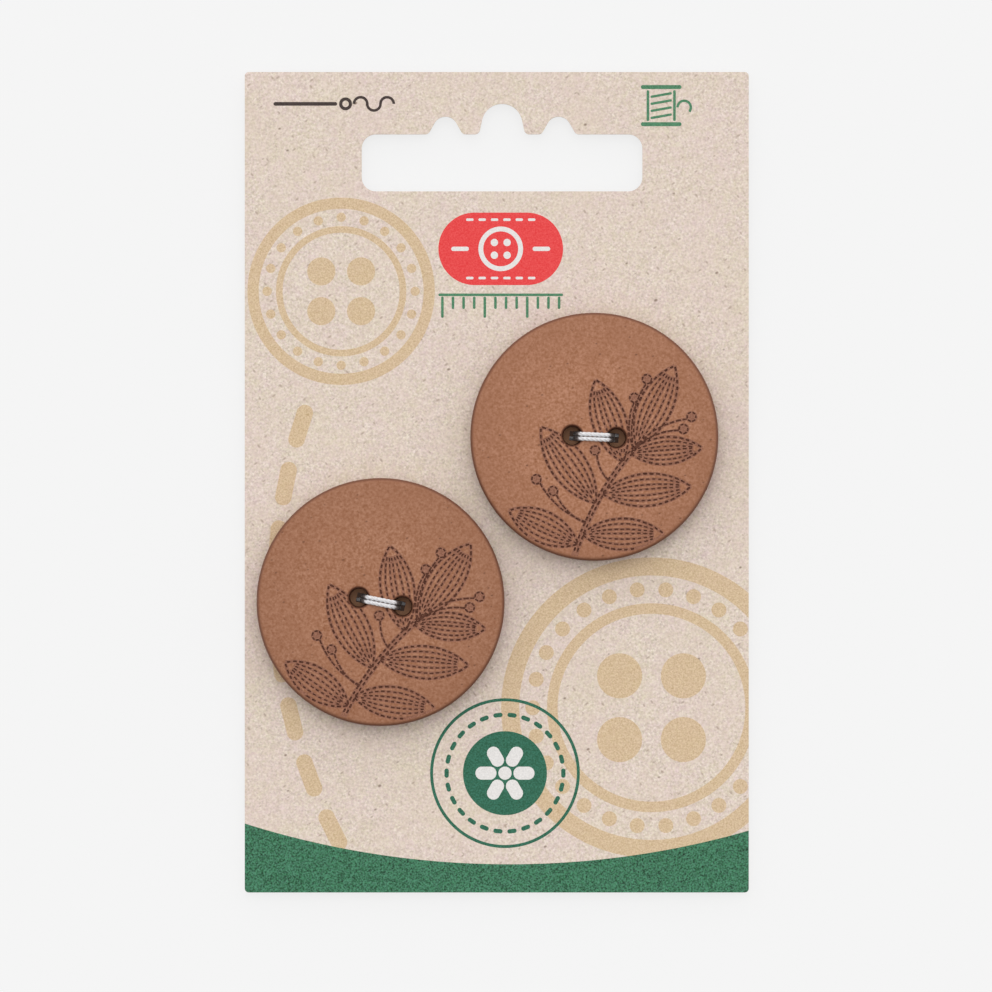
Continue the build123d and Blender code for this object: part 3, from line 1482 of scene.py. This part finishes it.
@dataclass
class TieThread:
    """A thread that ties a button on: two turns side by side, knotted behind the card."""

    node: str
    button: TiedButton
    strand_diameter: float = 0.5 * MM
    strand_gap: float = 0.02 * MM
    clearance: float = 0.03 * MM
    back_turn: float = 0.5 * MM
    slit_reach: float = 2.2 * MM
    knot_length: float = 1.9 * MM
    knot_taper_share: float = 0.45
    tail_length: float = 3.5 * MM
    wrap_diameter: float = 0.32 * MM
    wraps: float = 5.5
    wrap_points: int = 12
    route_resolution: int = 20
    wrap_resolution: int = 10
    plies: int = 3
    ply_roundness: int = 2
    ply_share: float = 0.56
    twist_pitch: float = 1.5 * MM
    merge_distance: float = 0.0005 * MM

    def build(self) -> bpy.types.Object:
        """Makes the twisted thread.

        Returns:
            The piece that stands for the CAD node.
        """
        shape = bmesh.new()
        run = self._smooth(self._route(), self.route_resolution)
        self._spin_yarn(shape, run, self.strand_diameter)
        wraps = self._smooth(self._knot(), self.wrap_resolution)
        self._spin_yarn(shape, wraps, self.wrap_diameter)
        bmesh.ops.remove_doubles(shape, verts=shape.verts, dist=self.merge_distance)
        bmesh.ops.transform(shape, matrix=self.button.place, verts=shape.verts)
        for face in shape.faces:
            face.smooth = True
        name = f"{self.node}_twisted"
        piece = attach(add_object(name, dressed_mesh(name, shape, SpunThread())), BODY)
        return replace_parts(piece, self.node)

    def _heights(self) -> tuple[float, float, float]:
        """Works out how the thread's runs lie over the button's back face.

        Returns:
            Heights of the bridge, the crossing run and the tails.
        """
        low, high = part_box("card")
        strand = self.strand_diameter / 2
        bridge = self.button.form.thickness + self.clearance + strand
        crossing = low.z - high.z - self.clearance - strand
        return bridge, crossing, crossing - self.strand_diameter - self.strand_gap

    def _route(self) -> list[Vector]:
        """Lays out the thread's line in the button's frame, from cut end to cut end.

        Returns:
            Its control points.
        """
        bridge, crossing, tail = self._heights()
        side = (self.strand_diameter + self.strand_gap) / 2
        form = self.button.form
        run = self.slit_reach
        bridge_turn = form.hole_round + self.clearance + self.strand_diameter / 2
        over = (form.hole_spacing - form.hole_diameter) / 2 - form.hole_round + bridge_turn
        end = self.knot_length / 2 + self.tail_length
        corners = [
            Vector((end, side, tail)),
            Vector((-run, side, tail)),
            Vector((-over, side, bridge)),
            Vector((over, side, bridge)),
            Vector((run, side, crossing)),
            Vector((-run, -side, crossing)),
            Vector((-over, -side, bridge)),
            Vector((over, -side, bridge)),
            Vector((run, -side, tail)),
            Vector((-end, -side, tail)),
        ]
        turns = [self.back_turn, bridge_turn, bridge_turn, self.back_turn] * 2
        route = [corners[0]]
        for before, corner, after, turn in zip(corners, corners[1:], corners[2:], turns):
            # The spline touches its control lines half way, so each turn has two points at twice its size
            route.append(corner + (before - corner).normalized() * 2 * turn)
            route.append(corner)
            route.append(corner + (after - corner).normalized() * 2 * turn)
        return [*route, corners[-1]]

    def _knot(self) -> list[Vector]:
        """Lays out the wraps of the knot, which close in towards both ends.

        Returns:
            Their control points.
        """
        _, crossing, tail = self._heights()
        middle = (crossing + tail) / 2
        widest = self.strand_diameter + self.strand_gap / 2 - self.wrap_diameter / 2
        steps = round(self.wraps * self.wrap_points)
        points = []
        for step in range(steps + 1):
            share = step / steps
            turn = math.tau * self.wraps * share
            wide = widest * (1 - self.knot_taper_share * abs(2 * share - 1) ** 3)
            x = (share - 0.5) * (self.knot_length - self.wrap_diameter)
            points.append(Vector((x, wide * math.cos(turn), middle + wide * math.sin(turn))))
        return points

    @staticmethod
    def _curve_mesh(kind: str, points: list[Vector], **settings: object) -> bpy.types.Mesh:
        """Makes the mesh of a curve.

        Args:
            kind: NURBS for a smooth line near the points, or POLY for straight runs between them.
            points: its control points.
            settings: properties of the curve.

        Returns:
            The mesh of the line, or of the tube round it.
        """
        curve = bpy.data.curves.new("line", "CURVE")
        curve.dimensions = "3D"
        for name, value in settings.items():
            setattr(curve, name, value)
        spline = curve.splines.new(kind)
        spline.points.add(len(points) - 1)
        for point, place in zip(spline.points, points):
            point.co = (*place, 1.0)
        spline.order_u = 3
        spline.use_endpoint_u = True
        line = bpy.data.objects.new("line", curve)
        mesh = bpy.data.meshes.new_from_object(line)
        bpy.data.objects.remove(line)
        bpy.data.curves.remove(curve)
        return mesh

    def _smooth(self, control: list[Vector], resolution: int) -> list[Vector]:
        """Reads points along the smooth spline of a list of control points.

        Args:
            control: the control points.
            resolution: points for each span of the spline.

        Returns:
            The points in order.
        """
        mesh = self._curve_mesh("NURBS", control, resolution_u=resolution)
        points = [vert.co.copy() for vert in mesh.vertices]
        bpy.data.meshes.remove(mesh)
        return points

    def _spin_yarn(self, shape: Shape, line: list[Vector], diameter: float) -> None:
        """Twists plies round a line, each a closed tube.

        Args:
            shape: the mesh that takes the yarn.
            line: points along the yarn's middle.
            diameter: over the twisted plies.
        """
        ply_radius = diameter / 2 * self.ply_share
        offset = diameter / 2 - ply_radius
        pitch = self.twist_pitch * diameter / self.strand_diameter
        for ply in range(self.plies):
            helix = []
            travelled = 0.0
            across = (line[1] - line[0]).orthogonal().normalized()
            for before, here, after in zip([line[0], *line], line, [*line[1:], line[-1]]):
                travelled += (here - before).length
                ahead = (after - before).normalized()
                across = (across - ahead * across.dot(ahead)).normalized()
                turn = math.tau * (travelled / pitch + ply / self.plies)
                outwards = across * math.cos(turn) + ahead.cross(across) * math.sin(turn)
                helix.append(here + outwards * offset)
            tube = self._curve_mesh(
                "POLY",
                helix,
                bevel_depth=ply_radius,
                bevel_resolution=self.ply_roundness,
                use_fill_caps=True,
            )
            shape.from_mesh(tube)
            bpy.data.meshes.remove(tube)


@dataclass
class Studio:
    """The pale floor, the soft light and the camera straight above the card."""

    frame_width: float = 112.2 * MM
    frame_centre: tuple[float, float] = (-0.085 * MM, -1.555 * MM)
    lens_mm: float = 400.0
    sensor_mm: float = 36.0
    floor_size: float = 6.0
    key_direction: tuple[float, float, float] = (0.0, 0.23, 1.0)
    key_softness: float = 50.0
    key_share: float = 0.24
    sky_near: float = 0.12
    sky_far: float = 1.40

    def build(self) -> None:
        """Sets up the floor, the lights, the world and the camera."""
        bpy.context.scene.view_settings.view_transform = "Standard"
        self._floor()
        self._key()
        self._sky()
        self._camera()

    def _floor(self) -> None:
        """The table top that the card lies on."""
        shape = bmesh.new()
        bmesh.ops.create_grid(shape, x_segments=1, y_segments=1, size=self.floor_size / 2)
        add_object("studio_floor", dressed_mesh("studio_floor", shape, PaleFloor()))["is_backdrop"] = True

    def _key(self) -> None:
        """The main light, far off beyond the card's upper edge."""
        towards = Vector(self.key_direction).normalized()
        lamp = bpy.data.lights.new("key_light", "SUN")
        lamp.angle = math.radians(self.key_softness)
        lamp.energy = math.pi * self.key_share / towards.z
        key = add_object("key_light", lamp)
        key.rotation_mode = "QUATERNION"
        key.rotation_quaternion = towards.to_track_quat("Z", "Y")

    def _sky(self) -> None:
        """Soft light that grows towards the card's upper edge, on an even pale background."""
        world = bpy.data.worlds.new("soft_studio")
        world.use_nodes = True
        world.node_tree.nodes.clear()
        bpy.context.scene.world = world
        recipe = Recipe(world.node_tree)
        direction = recipe.add("TexCoord", output="Generated")
        along = recipe.add("SeparateXYZ", {0: direction}, "Y")
        strength = recipe.add(
            "MapRange",
            {"Value": along, "From Min": -1.0, "To Min": self.sky_near, "To Max": self.sky_far},
        )
        dome = recipe.add("Background", {"Color": linear("ffffff"), "Strength": strength})
        backdrop = recipe.add("Background", {"Color": linear(PaleFloor().colour)})
        seen = recipe.add("LightPath", output="Is Camera Ray")
        either = recipe.add("MixShader", {0: seen, 1: dome, 2: backdrop})
        recipe.add("OutputWorld", {"Surface": either})

    def _camera(self) -> None:
        """A long lens straight above, framed as wide as the photograph."""
        lens = bpy.data.cameras.new("camera")
        lens.lens = self.lens_mm
        lens.sensor_width = self.sensor_mm
        camera = add_object("camera", lens)
        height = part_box("card")[1].z + self.frame_width * self.lens_mm / self.sensor_mm
        camera.location = (*self.frame_centre, height)
        bpy.context.scene.camera = camera


def main() -> None:
    """Builds the studio, the card, the buttons and the threads, and reports each piece."""
    logging.basicConfig(level=logging.INFO, format="%(name)s: %(message)s")
    Studio().build()
    card = PrintedCard()
    card.build()
    card.dress()
    for piece in card.pieces:
        LOG.info("printed %s", piece.name)
    form = EngravedForm("button_upper")
    engraved = form.build()
    for place, holes_angle in (("upper", -2.9), ("lower", -11.4)):
        button = TiedButton(f"button_{place}", form, Moulding[place.upper()], holes_angle)
        LOG.info("engraved %s", button.build(engraved).name)
        thread = TieThread(f"tie_thread_{place}", button)
        LOG.info("tied %s", thread.build().name)
    bpy.data.meshes.remove(engraved)
    boxes = {"cad": CAD_BOX, "visual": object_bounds()}
    {name: [list(corner) for corner in box] for name, box in boxes.items()}


if __name__ == "__main__":
    main()
